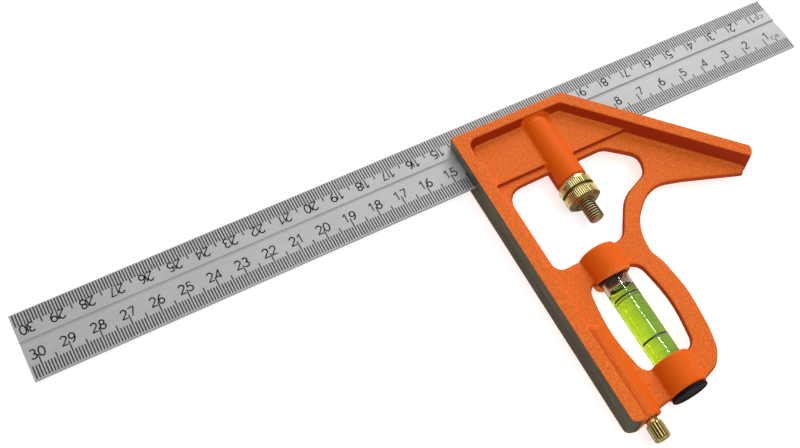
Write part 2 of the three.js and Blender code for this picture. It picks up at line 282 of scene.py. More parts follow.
def paint_material():
    """Orange powder coat: fine grain, slight mottle, smoother and deeper on the bosses."""
    m, t, b, co, _ = new_material("head_paint")
    fine = noise(t, co, 2700, 2.0, 0.6)
    coarse = noise(t, co, 1250, 3.0, 0.6)
    broad = noise(t, co, 55, 2.0, 0.5)
    smooth = t.nodes.new("ShaderNodeAttribute")
    smooth.attribute_name = "smooth_skin"
    grain = ramp(
        t,
        fine,
        [(0.32, (0.52, 0.080, 0.008)), (0.5, (0.76, 0.138, 0.014)), (0.68, (0.96, 0.26, 0.045))],
    )
    mottled = mix(t, remap(t, coarse, 0.35, 0.65, 0.0, 0.45), grain, (0.58, 0.092, 0.008))
    shaded = mix(t, remap(t, broad, 0.35, 0.65, 0.0, 0.16), mottled, (0.86, 0.17, 0.025))
    plain = mix(t, remap(t, coarse, 0.35, 0.65, 0.0, 0.3), (0.72, 0.104, 0.003), (0.84, 0.142, 0.006))
    colour = mix(t, smooth.outputs["Fac"], shaded, plain)
    # painted shade: the coat colour is mixed to a dark red on the pockets' walls, the web's step and its edges
    wall_shade = t.nodes.new("ShaderNodeAttribute")
    wall_shade.attribute_name = "painted_wall_shade"
    colour = mix(t, wall_shade.outputs["Fac"], colour, (0.36, 0.030, 0.002))
    t.links.new(colour, b.inputs["Base Color"])
    t.links.new(remap(t, fine, 0.3, 0.7, 0.46, 0.62), b.inputs["Roughness"])
    b.inputs["Specular IOR Level"].default_value = 0.10
    first = bump(t, b, coarse, 0.16, 0.00016)
    bump(t, b, fine, 0.22, 0.00010, first)
    return m


def milled_material(name, base, dark, along, rough=(0.26, 0.46), metallic=1.0):
    """Bare machined metal: fine parallel cutter marks and a slight stain."""
    m, t, b, co, _ = new_material(name)
    lines = noise(t, mapped(t, co, along), 900, 3.0, 0.6)
    stain = noise(t, co, 90, 4.0, 0.6)
    c = ramp(t, lines, [(0.30, dark), (0.68, base)])
    c = mix(t, remap(t, stain, 0.42, 0.72, 0.0, 0.45), c, dark)
    t.links.new(c, b.inputs["Base Color"])
    b.inputs["Metallic"].default_value = metallic
    t.links.new(remap(t, lines, 0.3, 0.7, *rough), b.inputs["Roughness"])
    bump(t, b, lines, 0.25, 0.00003)
    return m


def rule_material():
    """Satin stainless steel, brushed along the rule."""
    m, t, b, co, _ = new_material("rule_steel")
    brushed = noise(t, mapped(t, co, (0.035, 1.0, 1.0)), 4200, 3.0, 0.6)
    long_marks = noise(t, mapped(t, co, (0.02, 1.0, 1.0)), 1300, 2.0, 0.5)
    cloud = noise(t, co, 38, 3.0, 0.5)
    c = ramp(t, brushed, [(0.25, (0.39, 0.39, 0.395)), (0.75, (0.50, 0.50, 0.50))])
    c = mix(t, remap(t, long_marks, 0.35, 0.65, 0.0, 0.35), c, (0.43, 0.43, 0.435))
    c = mix(t, remap(t, cloud, 0.35, 0.7, 0.0, 0.30), c, (0.53, 0.53, 0.525))
    t.links.new(c, b.inputs["Base Color"])
    b.inputs["Metallic"].default_value = 0.35
    b.inputs["Specular IOR Level"].default_value = 0.3
    t.links.new(remap(t, brushed, 0.3, 0.7, 0.46, 0.60), b.inputs["Roughness"])
    bump(t, b, brushed, 0.10, 0.00002)
    return m


def ink_material():
    """The black fill of the graduations, with a slight wear."""
    m, t, b, co, _ = new_material("rule_ink")
    wear = noise(t, co, 2600, 3.0, 0.6)
    t.links.new(
        ramp(t, wear, [(0.35, (0.008, 0.008, 0.009)), (0.72, (0.030, 0.030, 0.032))]),
        b.inputs["Base Color"],
    )
    t.links.new(remap(t, wear, 0.3, 0.7, 0.45, 0.7), b.inputs["Roughness"])
    return m


def brass_material(name, light, dark, rough=(0.16, 0.34)):
    """Polished brass with turning marks round its axis and dull patches."""
    m, t, b, co, _ = new_material(name)
    turned = noise(t, mapped(t, co, (0.15, 1.0, 0.15)), 3800, 2.0, 0.5)
    patch = noise(t, co, 420, 4.0, 0.6)
    c = ramp(t, turned, [(0.3, dark), (0.65, light)])
    c = mix(t, remap(t, patch, 0.45, 0.75, 0.0, 0.55), c, dark)
    # painted shade: the brass colour is darkened in the hollows of the knurl and the thread, in the nut's
    # channel and at its end
    groove_shade = t.nodes.new("ShaderNodeAttribute")
    groove_shade.attribute_name = "groove_shade"
    c = mix(t, groove_shade.outputs["Fac"], c, tuple(0.08 * q for q in dark))
    t.links.new(c, b.inputs["Base Color"])
    b.inputs["Metallic"].default_value = 0.92
    t.links.new(remap(t, patch, 0.3, 0.7, *rough), b.inputs["Roughness"])
    bump(t, b, turned, 0.12, 0.00003)
    return m


def wire_material():
    m, t, b, co, _ = new_material("spring_steel")
    n = noise(t, co, 1800, 3.0, 0.5)
    t.links.new(ramp(t, n, [(0.3, (0.42, 0.42, 0.43)), (0.7, (0.6, 0.6, 0.6))]), b.inputs["Base Color"])
    b.inputs["Metallic"].default_value = 1.0
    t.links.new(remap(t, n, 0.3, 0.7, 0.25, 0.42), b.inputs["Roughness"])
    return m


def plastic_material(name, light, dark, scale=900, rough=(0.35, 0.55), specular=0.5):
    m, t, b, co, _ = new_material(name)
    n = noise(t, co, scale, 4.0, 0.55)
    t.links.new(ramp(t, n, [(0.3, dark), (0.7, light)]), b.inputs["Base Color"])
    t.links.new(remap(t, n, 0.3, 0.7, *rough), b.inputs["Roughness"])
    b.inputs["Specular IOR Level"].default_value = specular
    bump(t, b, n, 0.12, 0.00005)
    return m


def clear_material(name, tint, spread, ior, rough, shadow, painted_shade=False, painted_end_shade=None):
    """A clear solid that light still reaches through."""
    m, t, b, co, out = new_material(name)
    n = noise(t, co, 240, 3.0, 0.5)
    colour = ramp(t, n, [(0.3, spread), (0.7, tint)])
    if painted_shade:  # painted shade: the liquid's green is darker on the side away from the working face
        parts = t.nodes.new("ShaderNodeSeparateXYZ")
        t.links.new(co, parts.inputs[0])
        x0 = (VIAL_X + BASE[0]) / 1000
        across = remap(t, parts.outputs[0], x0 - 0.0039, x0 + 0.0039, 0.0, 1.0)
        side = ramp(
            t,
            across,
            [(0.10, (0.70, 0.81, 0.006)), (0.30, (0.54, 0.70, 0.008)), (0.48, (0.19, 0.36, 0.018)), (0.90, (0.15, 0.29, 0.030))],
        )
        colour = mix(t, remap(t, n, 0.3, 0.7, 0.0, 0.15), side, colour)
    if painted_end_shade:  # painted shade: the glass is tinted grey-brown towards the closed end, standing in for the shade seen through it
        parts = t.nodes.new("ShaderNodeSeparateXYZ")
        t.links.new(co, parts.inputs[0])
        along = remap(t, parts.outputs[1], (BASE[1] - 59.4) / 1000, (BASE[1] - 56.6) / 1000, 0.0, 1.0)
        colour = mix(t, along, colour, painted_end_shade)
    t.links.new(colour, b.inputs["Base Color"])
    t.links.new(remap(t, n, 0.3, 0.7, rough * 0.6, rough * 1.4), b.inputs["Roughness"])
    b.inputs["Transmission Weight"].default_value = 1.0
    b.inputs["IOR"].default_value = ior
    through = t.nodes.new("ShaderNodeBsdfTransparent")
    through.inputs[0].default_value = (*shadow, 1)
    path = t.nodes.new("ShaderNodeLightPath")
    mixer = t.nodes.new("ShaderNodeMixShader")
    t.links.new(path.outputs["Is Shadow Ray"], mixer.inputs[0])
    t.links.new(b.outputs[0], mixer.inputs[1])
    t.links.new(through.outputs[0], mixer.inputs[2])
    t.links.new(mixer.outputs[0], out.inputs[0])
    return m


PAINT = paint_material()
MILLED = milled_material("milled_face", (0.37, 0.35, 0.27), (0.185, 0.172, 0.125), (1.0, 0.05, 1.0))
BORED = milled_material("bored_metal", (0.34, 0.34, 0.33), (0.20, 0.20, 0.19), (1.0, 1.0, 1.0), (0.35, 0.55))
STEEL = rule_material()
INK = ink_material()
BRASS = brass_material("brass_polished", (0.94, 0.80, 0.36), (0.72, 0.58, 0.21))
KNOB_BRASS = brass_material("brass_knob", (0.84, 0.67, 0.28), (0.54, 0.42, 0.15), (0.24, 0.42))
THREAD = brass_material("bolt_metal", (0.74, 0.64, 0.40), (0.44, 0.37, 0.20), (0.24, 0.42))
WIRE = wire_material()
STOPPER = plastic_material("stopper_plastic", (0.80, 0.80, 0.76), (0.70, 0.70, 0.66))
RUBBER = plastic_material("plug_rubber", (0.008, 0.007, 0.007), (0.003, 0.003, 0.003), 1400, (0.42, 0.60), 0.12)
RING = plastic_material("vial_line", (0.010, 0.012, 0.008), (0.004, 0.005, 0.004), 1500, (0.3, 0.45))
ACRYLIC = clear_material("vial_acrylic", (0.97, 0.985, 0.95), (0.95, 0.97, 0.93), 1.49, 0.01, (0.93, 0.96, 0.88), painted_end_shade=(0.48, 0.45, 0.37))
FLUID = clear_material("vial_fluid", (0.66, 0.90, 0.03), (0.60, 0.86, 0.02), 1.40, 0.0, (0.93, 0.97, 0.82), True)
NEEDLE = milled_material("needle_steel", (0.62, 0.62, 0.63), (0.42, 0.42, 0.44), (1.0, 0.06, 1.0), (0.2, 0.35))


# ---------------------------------------------------------------- head casting
def head_casting():
    """The CAD casting remeshed with softened cast edges, then machined again with sharp cuts."""
    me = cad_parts["head_casting"].data.copy()
    me.name = "head_body"
    me.materials.clear()
    bm = bmesh.new()
    bm.from_mesh(me)
    bmesh.ops.remove_doubles(bm, verts=bm.verts, dist=2e-6)
    base = Vector(BASE)
    for v in bm.verts:
        p = v.co * 1000 - base
        # the two reference faces get 0.8 mm to spare, which the last cuts take off again
        if abs(p.x - FACE_X) < 0.02:
            v.co.x -= 0.0008
        if abs(p.x + p.y - DIAG) < 0.03:
            v.co.x += 0.0006
            v.co.y += 0.0006
    bm.to_mesh(me)
    bm.free()
    o = bpy.data.objects.new("head_body", me)
    bpy.context.scene.collection.objects.link(o)
    modify(o, "REMESH", mode="VOXEL", voxel_size=0.00032)
    apply_all(o)
    # soften the cast skin, but not near the slot and the bores
    co = np.zeros(len(o.data.vertices) * 3)
    o.data.vertices.foreach_get("co", co)
    p = co.reshape(-1, 3) * 1000 - np.array(BASE)
    keep = (np.abs(p[:, 2]) < 1.5) & (p[:, 1] > -2.2)
    for x, r, y0, y1 in (
        (BOLT_X, 4.6, -14.5, 16),
        (VIAL_X, 5.7, -99, -45),
        (SCRIBER_X, 2.8, -104, -66),
    ):
        keep |= (np.hypot(p[:, 0] - x, p[:, 2]) < r) & (p[:, 1] > y0) & (p[:, 1] < y1)
    group = o.vertex_groups.new(name="skin")
    group.add(np.nonzero(~keep)[0].tolist(), 1.0, "REPLACE")
    modify(o, "SMOOTH", factor=0.5, iterations=3, vertex_group="skin")
    apply_all(o)
    ratio = min(1.0, 190000.0 / max(1, 2 * len(o.data.polygons)))
    modify(o, "DECIMATE", ratio=ratio)
    apply_all(o)
    diag = (math.pi / 4, DIAG / 2, DIAG / 2)
    cut(
        o,
        [
            scratch_box(FACE_X - 5, FACE_X, -140, 60, -12, 12),
            scratch_box(0, 5, -140, 140, -12, 12, diag),
            scratch_box(-170, -20, -0.33, 40, -0.93, 0.93),
            scratch_box(-131.1, -103.9, -1.45, 1, -0.93, 0.93),
            scratch_rod(4.3, -11.25, 13.95, BOLT_X),
            scratch_rod(3.24, -20, 0, BOLT_X),
            scratch_rod(5.44, -110, -45.05, VIAL_X),
            scratch_rod(2.54, -110, -91.65, SCRIBER_X),
            scratch_rod(1.33, -95, -66.15, SCRIBER_X),
        ],
    )
    me = o.data
    me.name = "head_body"
    me.materials.clear()
    for m in (PAINT, MILLED, BORED):
        me.materials.append(m)
    n = len(me.polygons)
    c, nr = np.zeros(n * 3), np.zeros(n * 3)
    me.polygons.foreach_get("center", c)
    me.polygons.foreach_get("normal", nr)
    c = c.reshape(-1, 3) * 1000 - np.array(BASE)
    nr = nr.reshape(-1, 3)
    index = np.zeros(n, np.int32)
    index[(np.abs(c[:, 0] - FACE_X) < 0.03) & (nr[:, 0] < -0.99)] = 1
    index[(np.abs(c[:, 0] + c[:, 1] - DIAG) < 0.05) & (nr[:, 0] + nr[:, 1] > 1.40)] = 1
    # the cutter also leaves the foot's corner bare
    index[(c[:, 0] < FACE_X + 3.6) & (c[:, 1] < -96.5) & (np.abs(nr[:, 2]) < 0.3)] = 1
    index[(np.abs(np.abs(c[:, 2]) - 0.93) < 0.02) & (c[:, 1] > -1.5)] = 2
    for x, r, y0, y1 in (
        (BOLT_X, 4.3, -11.3, 14),
        (BOLT_X, 3.24, -13.4, -11),
        (VIAL_X, 5.44, -98.5, -86.5),
        (VIAL_X, 5.44, -52.3, -45.0),
        (SCRIBER_X, 2.54, -101.2, -91.6),
        (SCRIBER_X, 1.33, -91.7, -66.1),
    ):
        bore = np.abs(np.hypot(c[:, 0] - x, c[:, 2]) - r) < 0.03
        index[bore & (c[:, 1] > y0) & (c[:, 1] < y1)] = 2
    me.polygons.foreach_set("material_index", index)
    # where the turned bosses show, the coat is smoother
    v = np.zeros(len(me.vertices) * 3)
    me.vertices.foreach_get("co", v)
    v = v.reshape(-1, 3) * 1000 - np.array(BASE)
    skin = np.zeros(len(v), np.float32)
    for x, r, y0, y1 in (
        (BOLT_X, 6.1, -13.5, 15.1),
        (VIAL_X, 7.35, -52.3, -41.3),
        (VIAL_X, 7.35, -98.5, -86.5),
        (SCRIBER_X, 4.35, -101, -64.4),
    ):
        out = np.hypot(v[:, 0] - x, v[:, 2]) - r
        inside = (v[:, 1] > y0) & (v[:, 1] < y1) & (np.abs(v[:, 2]) > 1.6)
        skin = np.maximum(skin, np.where(inside, np.clip(1 - (out - 0.05) / 0.5, 0, 1), 0))
    # the scriber boss keeps the rim's grain on the side towards the rim
    rail = (v[:, 0] < SCRIBER_X + 4.5) & (v[:, 1] < -63)
    skin = np.where(rail, skin * np.clip((v[:, 0] - SCRIBER_X + 0.6) / 1.6, 0, 1), skin).astype(np.float32)
    a = me.attributes.new("smooth_skin", "FLOAT", "POINT")
    a.data.foreach_set("value", skin.astype(np.float32))
    # painted shade: a dark coat colour on the upright walls inside the rims, on the step of the web and on the
    # rounded edges of the thin web
    vn = np.zeros(len(me.vertices) * 3)
    me.vertices.foreach_get("normal", vn)
    vn = vn.reshape(-1, 3)
    wall_shade = np.clip((0.80 - np.abs(vn[:, 2])) / 0.25, 0, 1)
    x, y, z = v[:, 0], v[:, 1], np.abs(v[:, 2])
    inner = (x > FACE_X + 1.2) & (y < TOP_Y - 0.8) & (x + y < DIAG - 1.0)
    upper = (y > 8.5) & (z > 2.1)
    slant = (x + y > -95.0) & (z > 1.2) & (y > -38)
    step = (np.abs(y + 4.0) < 0.7) & (z > 1.1) & (z < 2.6) & (vn[:, 1] < -0.25)
    thin = (z < 1.5) & (x > -136.3) & (y < 3) & ~((np.abs(z) < 0.95) & (y > -1.6))
    painted_shade_mask = np.where(inner & (upper | slant | step), wall_shade, 0)
    painted_shade_mask = np.maximum(painted_shade_mask, np.where(step, 0.9, 0))
    rounded = np.clip((0.94 - np.abs(vn[:, 2])) / 0.3, 0, 1)
    painted_shade_mask = np.maximum(painted_shade_mask, np.where(thin, 0.85 * rounded, 0))
    wall_shade = np.where(skin < 0.05, painted_shade_mask, 0)
    # painted shade: a dark line on the narrow step between the rim and the scriber boss
    seam = (x > -140.5) & (x < -138.7) & (y < -65.5) & (y > -100.4) & (z > 3.2) & (z < 5.7)
    wall_shade = np.where(seam, 0.55, wall_shade)
    a = me.attributes.new("painted_wall_shade", "FLOAT", "POINT")
    a.data.foreach_set("value", wall_shade.astype(np.float32))
    me.polygons.foreach_set("use_smooth", [True] * len(me.polygons))
    me.set_sharp_from_angle(angle=math.radians(35))
    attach(o, "head")
    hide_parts("head_casting")
    return o


head = head_casting()


# ---------------------------------------------------------------- rule
def rule():
    c = 0.10
    section = [
        (0, -0.6 + c), (c, -0.6), (RULE_W - c, -0.6), (RULE_W, -0.6 + c), (RULE_W, 0.6 - c),
        (RULE_W - c, 0.6),
        (GROOVE_Y1 + 0.14, 0.6), (GROOVE_Y1 + 0.02, 0.6 - 0.06), (GROOVE_Y1 - 0.14, 0.6 - GROOVE_D + 0.12),
        (GROOVE_Y1 - 0.34, 0.6 - GROOVE_D),
        (GROOVE_Y0 + 0.30, 0.6 - GROOVE_D), (GROOVE_Y0 + 0.10, 0.6 - GROOVE_D + 0.10),
        (GROOVE_Y0 + 0.02, 0.6 - 0.10), (GROOVE_Y0 - 0.12, 0.6),
        (c, 0.6), (0, 0.6 - c),
    ]
    xs = [-RULE_L, -RULE_L + 0.12] + list(np.linspace(-RULE_L + 4, -4, 60)) + [-0.12, 0.0]
    pts, faces, n = [], [], len(section)
    for i, x in enumerate(xs):
        shrink = 0.10 if i in (0, len(xs) - 1) else 0.0
        for y, z in section:
            yy = min(max(y, shrink), RULE_W - shrink)
            zz = max(-0.6 + shrink, min(0.6 - shrink, z)) if z > 0.3 or z < 0 else z
            pts.append((x, yy, zz))
    for i in range(len(xs) - 1):
        for k in range(n):
            l = (k + 1) % n
            faces.append((i * n + k, i * n + l, (i + 1) * n + l, (i + 1) * n + k))
    faces.append(tuple(range(n)))
    faces.append(tuple(range(len(xs) * n - 1, (len(xs) - 1) * n - 1, -1)))
    o = build("rule_blade", pts, faces, STEEL, "rule", 25)
    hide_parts("rule")
    return o


rule()

# strokes of the digits in a box 0.62 wide and 1 high; each stroke is a list of points
def _arc(cx, cy, rx, ry, a0, a1, n=12):
    return [
        (cx + rx * math.cos(math.radians(a0 + (a1 - a0) * i / n)),
         cy + ry * math.sin(math.radians(a0 + (a1 - a0) * i / n)))
        for i in range(n + 1)
    ]


GLYPHS = {
    "0": [_arc(0.31, 0.5, 0.27, 0.46, 90, 450, 28)],
    "1": [[(0.10, 0.72), (0.36, 0.96), (0.36, 0.04)]],
    "2": [_arc(0.31, 0.70, 0.25, 0.26, 165, -28, 14) + [(0.06, 0.05), (0.58, 0.05)]],
    "3": [_arc(0.29, 0.73, 0.23, 0.23, 150, -85, 12), _arc(0.29, 0.27, 0.27, 0.24, 88, -150, 14)],
    "4": [[(0.45, 0.04), (0.45, 0.96), (0.04, 0.28), (0.60, 0.28)]],
    "5": [[(0.54, 0.95), (0.15, 0.95), (0.10, 0.52)] + _arc(0.30, 0.32, 0.27, 0.28, 130, -150, 16)],
    "6": [_arc(0.31, 0.31, 0.25, 0.27, 90, 450, 22), _arc(0.50, 0.40, 0.44, 0.56, 100, 192, 9)],
    "7": [[(0.06, 0.95), (0.57, 0.95), (0.24, 0.04)]],
    "8": [_arc(0.31, 0.73, 0.22, 0.22, 90, 450, 20), _arc(0.31, 0.28, 0.26, 0.24, 90, 450, 22)],
    "9": [_arc(0.31, 0.69, 0.25, 0.27, 90, 450, 22), _arc(0.12, 0.60, 0.44, 0.56, -80, 12, 9)],
    "c": [_arc(0.30, 0.30, 0.24, 0.26, 50, 310, 14)],
    "m": [[(0.08, 0.04), (0.08, 0.56)], _arc(0.22, 0.38, 0.14, 0.18, 180, 0, 8) + [(0.36, 0.04)],
          _arc(0.50, 0.38, 0.14, 0.18, 180, 0, 8) + [(0.64, 0.04)]],
}


class Marks:
    """Thin closed plates for ticks and digits, gathered into one mesh."""

    def __init__(self, side):
        self.side, self.points, self.faces = side, [], []

    def plate(self, corners):
        """corners go round a flat polygon in (x, y), seen from the front of its face."""
        lo, hi = 0.59, 0.612
        n, b = len(corners), len(self.points)
        for z in (lo, hi):
            for x, y in corners:
                self.points.append((x, y, z * self.side))
        self.faces.append([b + n + i for i in range(n)])
        for i in range(n):
            j = (i + 1) % n
            self.faces.append([b + i, b + j, b + n + j, b + n + i])

    def tick(self, x, y0, y1, w):
        self.plate([(x - w / 2, y0), (x + w / 2, y0), (x + w / 2, y1), (x - w / 2, y1)])

    def stroke(self, pts, w):
        p = np.array(pts, float)
        closed = np.hypot(*(p[0] - p[-1])) < 1e-6
        if closed:
            p = p[:-1]
        n = len(p)
        for i in range(n if closed else n - 1):
            a, c = p[i], p[(i + 1) % n]
            d = c - a
            length = np.hypot(*d)
            if length < 1e-9:
                continue
            d = d / length
            s = np.array([-d[1], d[0]]) * w / 2
            e = d * w * 0.28
            q0 = a - (e if (closed or i > 0) else 0)
            q1 = c + (e if (closed or i < n - 2) else 0)
            self.plate([tuple(q0 - s), tuple(q1 - s), tuple(q1 + s), tuple(q0 + s)])

    def text(self, s, x, y, height, w, flip, gap=0.13):
        """Centred on (x, y); flip turns it half a turn."""
        widths = [0.72 if ch == "m" else 0.62 for ch in s]
        total = sum(widths) + gap * (len(s) - 1)
        at = -total / 2
        for ch, wd in zip(s, widths):
            for st in GLYPHS[ch]:
                pts = []
                for px, py in st:
                    gx, gy = (at + px) * height, (py - 0.5) * height
                    if self.side < 0:  # so that they read right from the back
                        gx = -gx
                    if flip:
                        gx, gy = -gx, -gy
                    pts.append((x + gx, y + gy))
                self.stroke(pts, w)
            at += wd + gap

    def make(self, name):
        pts = self.points
        if self.side < 0:
            faces = [list(reversed(f)) for f in self.faces]
        else:
            faces = self.faces
        me = bpy.data.meshes.new(name)
        me.from_pydata(put(pts).tolist(), [], faces)
        me.materials.append(INK)
        o = bpy.data.objects.new(name, me)
        bpy.context.scene.collection.objects.link(o)
        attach(o, "rule")
        return o


def graduations(side, name):
    """Millimetres along both edges, numbered in centimetres from the zero end."""
    m = Marks(side)
    for i in range(1, 304):
        length = 8.3 if i % 10 == 0 else 6.5 if i % 5 == 0 else 5.0
        wide = 0.46 if i % 5 else 0.42
        m.tick(-i, 0.45, length, wide)
        m.tick(-i, RULE_W - length, RULE_W - 0.45, wide)
    for upper in (False, True):
        y = RULE_W - 6.8 if upper else 8.9
        # the unit's two letters stand beside the zero end, smaller than the digits
        m.text("cm", -4.6, RULE_W - 7.6 if upper else 7.6, 2.6, 0.26, upper)
        for k in range(1, 31):
            m.text(str(k), -10.0 * k + (2.05 if k < 10 else 0.0), y, 3.6, 0.46, upper)
    return m.make(name)


graduations(1, "marks_front")
graduations(-1, "marks_back")


# ---------------------------------------------------------------- clamp nut
def knurled(radius, depth, teeth, duty=0.5):
    """Straight knurl: radius as a function of angle, with flat-topped teeth."""

    def r(angles, y=0.0):
        u = np.mod(angles * teeth / (2 * math.pi), 1.0)
        t = np.abs(u - 0.5) * 2  # 1 at the tooth's middle, 0 between teeth
        return radius - depth * np.clip((duty - t) / duty * 1.6, 0, 1)

    return r


def clamp_nut():
    R, D, N = 6.4, 0.42, 54
    top = -13.6
    rows = []

    def plain(r, y):
        rows.append((r, y))

    def tooth(scale, y, radius=R):
        rows.append((lambda a, yy, s=scale, rr=radius: knurled(rr, D * s, N)(a), y))

    plain(3.15, -22.5)
    plain(3.5, -22.9)
    plain(5.0, -22.9)
    plain(5.2, -22.82)
    plain(5.85, -22.3)
    tooth(0.0, -22.24, 5.95)
    tooth(0.9, -22.08, 6.25)
    for y in np.linspace(-21.95, -18.75, 10):
        tooth(1.0, y)
    tooth(0.9, -18.62, 6.3)
    tooth(0.0, -18.5, 6.0)
    plain(5.75, -18.42)
    plain(5.62, -18.3)
    plain(5.62, -17.85)
    plain(5.75, -17.7)
    tooth(0.0, -17.62, 6.0)
    tooth(0.9, -17.5, 6.3)
    for y in np.linspace(-17.38, -14.98, 8):
        tooth(1.0, y)
    tooth(0.9, -14.85, 6.3)
    tooth(0.0, -14.72, 6.02)
    plain(5.98, -14.62)
    plain(5.92, -14.2)
    plain(5.75, -13.8)
    plain(5.45, top)
    plain(3.6, top)
    plain(3.15, top - 0.4)
    # painted shade: the knurl's tooth bottoms, the channel between the two bands and the nut's chamfered end are
    # darkened
    band = lambda r, y: np.where(((y > -22.2) & (y < -18.5)) | ((y > -17.6) & (y < -14.7)), (6.36 - r) / 0.18, 0)
    channel = lambda r, y: np.where((y > -18.55) & (y < -17.6), 0.85, 0)
    end = lambda r, y: np.where(y < -22.2, 0.55, 0)
    o = rings(
        "clamp_nut_knurled", rows, BOLT_X, N * 10, BRASS, "nut", loop=True, smooth=26,
        low=lambda r, y: np.maximum(np.maximum(band(r, y), channel(r, y)), end(r, y)),
    )
    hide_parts("clamp_nut")
    return o


clamp_nut()


# ---------------------------------------------------------------- clamp bolt
def clamp_bolt():
    major, minor, pitch = 2.92, 2.36, 1.0
    seg = 72
    rows = []
    y_end, y_top = -30.6, -8.0

    def threaded(limit):
        def r(angles, y):
            u = np.mod((y - angles / (2 * math.pi) * pitch) / pitch, 1.0)
            t = np.abs(u - 0.5) * 2
            v = minor + (major - minor) * np.clip(t * 1.35 - 0.15, 0, 1)
            return np.minimum(v, limit)

        return r

    rows.append((2.0, y_end))
    rows.append((2.2, y_end + 0.02))
    rows.append((2.32, y_end + 0.12))
    y = y_end + 0.2
    while y < y_top:
        limit = min(major, 2.35 + (y - y_end - 0.12) * 1.1)
        rows.append((threaded(limit), y))
        y += 0.1
    rows.append((minor + 0.2, y_top + 0.1))
    rows.append((2.88, y_top + 0.4))
    rows.append((2.88, -3.5))
    # painted shade: the roots of the thread are darkened
    o = rings(
        "bolt_thread", rows, BOLT_X, seg, THREAD, "bolt", smooth=40,
        low=lambda r, y: np.where((y > -30.2) & (y < -8.2), (2.80 - r) / 0.34, 0),
    )
    # the rings have no top hole: the shank ends inside the hook body below
    hook = rings(
        "bolt_hook",
        [(3.6, -3.9), (3.85, -3.75), (3.9, -3.6), (3.9, 12.6), (3.75, 12.9), (3.5, 13.0)],
        BOLT_X,
        72,
        THREAD,
        None,
    )
    cut(hook, [scratch_box(BOLT_X - 8, BOLT_X + 8, -1.9, 30, -8, 0.9)])
    lug = scratch_box(BOLT_X - 1.6, BOLT_X + 1.6, GROOVE_Y0 + 0.35, 12.9, 0.4, 2.0)
    cut(hook, [lug], "UNION")
    modify(hook, "BEVEL", width=0.00012, segments=2, limit_method="ANGLE", angle_limit=math.radians(40))
    apply_all(hook)
    hook.data.materials.clear()
    hook.data.materials.append(THREAD)
    hook.data.polygons.foreach_set("use_smooth", [True] * len(hook.data.polygons))
    hook.data.set_sharp_from_angle(angle=math.radians(32))
    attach(hook, "bolt")
    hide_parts("clamp_bolt")
    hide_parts("clamp_bolt")


clamp_bolt()


def clamp_spring():
    r, wire, turns, per = 3.55, 0.28, 4.5, 40
    y0, y1 = -10.6, -4.6
    pts, faces, side = [], [], 14
    n = int(turns * per)
    for i in range(n + 1):
        t = i / n
        a = t * turns * 2 * math.pi
        # the end turns lie nearly flat
        s = t - 0.35 * math.sin(2 * math.pi * t) / (2 * math.pi)
        y = y0 + (y1 - y0) * s
        c = np.array([BOLT_X + r * math.cos(a), y, r * math.sin(a)])
        out = np.array([math.cos(a), 0, math.sin(a)])
        up = np.array([0, 1.0, 0])
        for k in range(side):
            b = 2 * math.pi * k / side
            pts.append(c + wire * (math.cos(b) * out + math.sin(b) * up))
    for i in range(n):
        for k in range(side):
            l = (k + 1) % side
            faces.append((i * side + k, i * side + l, (i + 1) * side + l, (i + 1) * side + k))
    faces.append(tuple(range(side)))
    faces.append(tuple(range((n + 1) * side - 1, n * side - 1, -1)))
    o = build("spring_coil", pts, faces, WIRE, "head", 40)
    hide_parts("clamp_spring")


clamp_spring()


# ---------------------------------------------------------------- vial
def vial():
    seg = 96
    bore, radius = 3.9, 5.1
    y0, y1 = -96.2, -45.4
    rows = (
        [(0.02, y1)]
        + [(radius - 0.6, y1), (radius - 0.18, y1 - 0.18), (radius, y1 - 0.6)]
        + [(radius, y) for y in np.linspace(-50, -90, 9)]
        + [(radius, y0 + 0.25), (radius - 0.25, y0), (bore + 0.12, y0), (bore, y0 + 0.1)]
        + [(bore, y) for y in np.linspace(-90, -50, 9)]
        + [(bore - 0.05, -48.9), (bore - 0.35, -48.4), (bore - 1.1, -48.1), (0.02, -48.0)]
    )
    tube = rings("vial_tube", rows, VIAL_X, seg, ACRYLIC, "head", loop=False, smooth=30)
    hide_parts("vial_body")
    # liquid: its top is the curved lower end of the bubble
    lr = bore + 0.012
    liquid = rings(
        "vial_fluid_body",
        [(lr - 0.15, -91.9), (lr, -91.7)]
        + [(lr, y) for y in np.linspace(-88, -59, 12)]
        + [(lr, -57.6), (lr - 0.10, -56.9), (lr - 0.45, -57.25), (lr - 1.1, -57.9), (lr - 1.9, -58.35), (lr - 2.9, -58.6), (0.3, -58.68)],
        VIAL_X,
        seg,
        FLUID,
        "head",
        smooth=40,
    )
    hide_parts("vial_liquid")
    # black lines round the front of the liquid column
    for i, (y, half) in enumerate(((-60.9, 0.36), (-62.05, 0.15), (-78.3, 0.36))):
        pts, faces, n = [], [], 72
        for k in range(n + 1):
            a = math.radians(-4 + 188 * k / n)
            for r, dy in ((bore + 0.05, -half), (bore + 0.09, -half), (bore + 0.09, half), (bore + 0.05, half)):
                pts.append((VIAL_X + r * math.cos(a), y + dy, r * math.sin(a)))
        for k in range(n):
            for q in range(4):
                w = (q + 1) % 4
                faces.append((k * 4 + q, k * 4 + w, k * 4 + 4 + w, k * 4 + 4 + q))
        faces.append((0, 1, 2, 3))
        faces.append((n * 4 + 3, n * 4 + 2, n * 4 + 1, n * 4))
        o = build(f"vial_line_{i}", pts, faces, RING, "head", 30)
    stop = rings(
        "vial_stopper_plug",
        [(3.3, -96.0), (3.6, -95.7), (3.6, -93.9), (3.5, -93.7), (3.6, -93.5), (3.6, -92.2), (3.4, -92.0)],
        VIAL_X,
        72,
        STOPPER,
        "head",
    )
    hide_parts("vial_stopper")
    plug = rings(
        "retaining_plug",
        [(5.1, -99.55), (5.3, -99.72), (5.95, -99.88)]
        + arc(6.25, -99.50, 0.40, -80, 0, 6)
        + [(6.65, -98.95), (6.58, -98.78), (6.4, -98.7), (5.1, -98.7), (5.1, -96.7), (4.9, -96.5)],
        VIAL_X,
        96,
        RUBBER,
        "head",
    )
    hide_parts("vial_retaining_plug")


vial()


